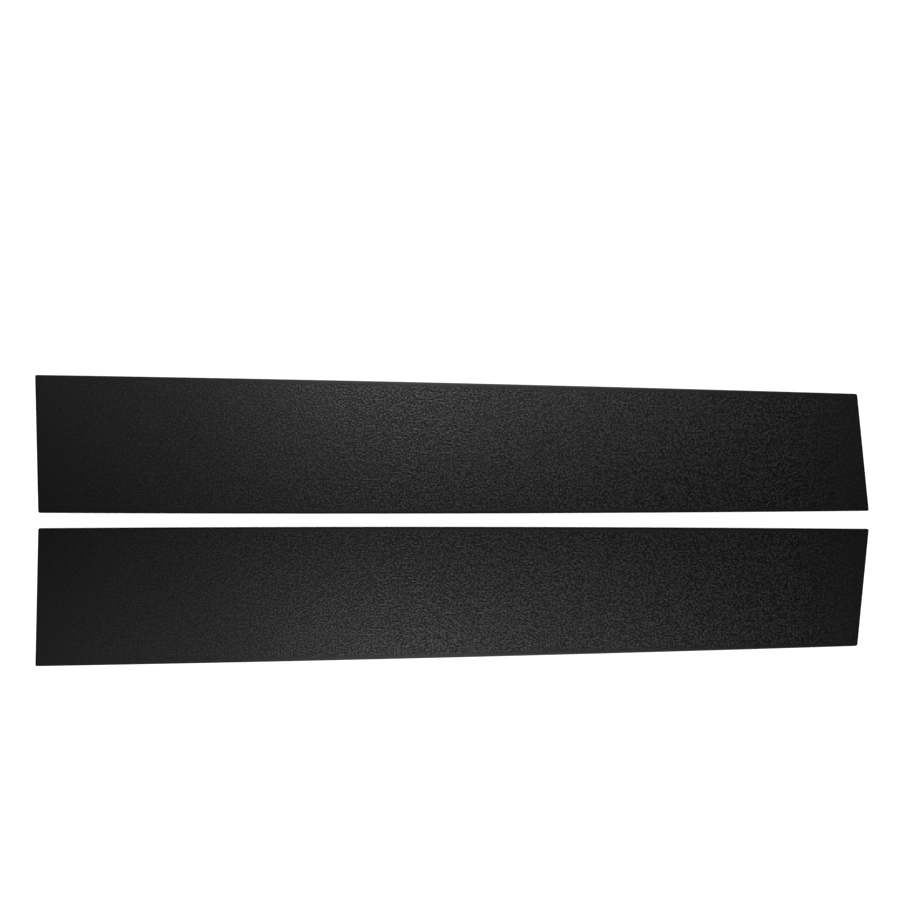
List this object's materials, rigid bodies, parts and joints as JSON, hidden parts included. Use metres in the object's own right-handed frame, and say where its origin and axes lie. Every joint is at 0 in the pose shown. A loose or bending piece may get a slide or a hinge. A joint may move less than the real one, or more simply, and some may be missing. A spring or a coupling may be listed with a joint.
{
  "type": "kick plate pair",
  "caption": "Handed pair of long, tapered, grained black plastic door-sill kick plates with rounded edges, fixed by foam-tape strips under peel-off liners.",
  "frame": {"origin": "under the middle of the pair, on the surface that the liners lie on", "axes": "+X along the plates from the wide end to the slanted narrow end, +Y from the right-hand plate to the left-hand plate, +Z out of the grained faces; the two plates mirror each other about Y = 0"},
  "size_m": [0.5016, 0.1754, 0.0038],
  "materials": {
    "grained_abs": "pebble-grained moulded black ABS, low sheen",
    "foam_tape": "dark grey closed-cell acrylic foam with adhesive on both faces",
    "release_liner": "red release film, satin"
  },
  "bodies": {
    "left_plate": {"left_plate": "grained_abs", "left_inner_tape": "foam_tape", "left_middle_tape": "foam_tape", "left_outer_tape": "foam_tape"},
    "left_inner_liner": {"left_inner_liner": "release_liner"},
    "left_middle_liner": {"left_middle_liner": "release_liner"},
    "left_outer_liner": {"left_outer_liner": "release_liner"},
    "right_plate": {"right_plate": "grained_abs", "right_inner_tape": "foam_tape", "right_middle_tape": "foam_tape", "right_outer_tape": "foam_tape"},
    "right_inner_liner": {"right_inner_liner": "release_liner"},
    "right_middle_liner": {"right_middle_liner": "release_liner"},
    "right_outer_liner": {"right_outer_liner": "release_liner"}
  },
  "joints": [
    {"name": "right_plate_lift", "type": "slide", "parent": "left_plate", "child": "right_plate", "axis": [0, 0, 1], "range_m": [0, 0.1]},
    {"name": "left_inner_liner_pull", "type": "slide", "parent": "left_plate", "child": "left_inner_liner", "axis": [-1, -0.0016, 0], "range_m": [0, 0.495]},
    {"name": "left_middle_liner_pull", "type": "slide", "parent": "left_plate", "child": "left_middle_liner", "axis": [-0.9999, 0.0111, 0], "range_m": [0, 0.495]},
    {"name": "left_outer_liner_pull", "type": "slide", "parent": "left_plate", "child": "left_outer_liner", "axis": [-0.9997, 0.0238, 0], "range_m": [0, 0.495]},
    {"name": "right_inner_liner_pull", "type": "slide", "parent": "right_plate", "child": "right_inner_liner", "axis": [-1, 0.0016, 0], "range_m": [0, 0.495]},
    {"name": "right_middle_liner_pull", "type": "slide", "parent": "right_plate", "child": "right_middle_liner", "axis": [-0.9999, -0.0111, 0], "range_m": [0, 0.495]},
    {"name": "right_outer_liner_pull", "type": "slide", "parent": "right_plate", "child": "right_outer_liner", "axis": [-0.9997, -0.0238, 0], "range_m": [0, 0.495]}
  ]
}
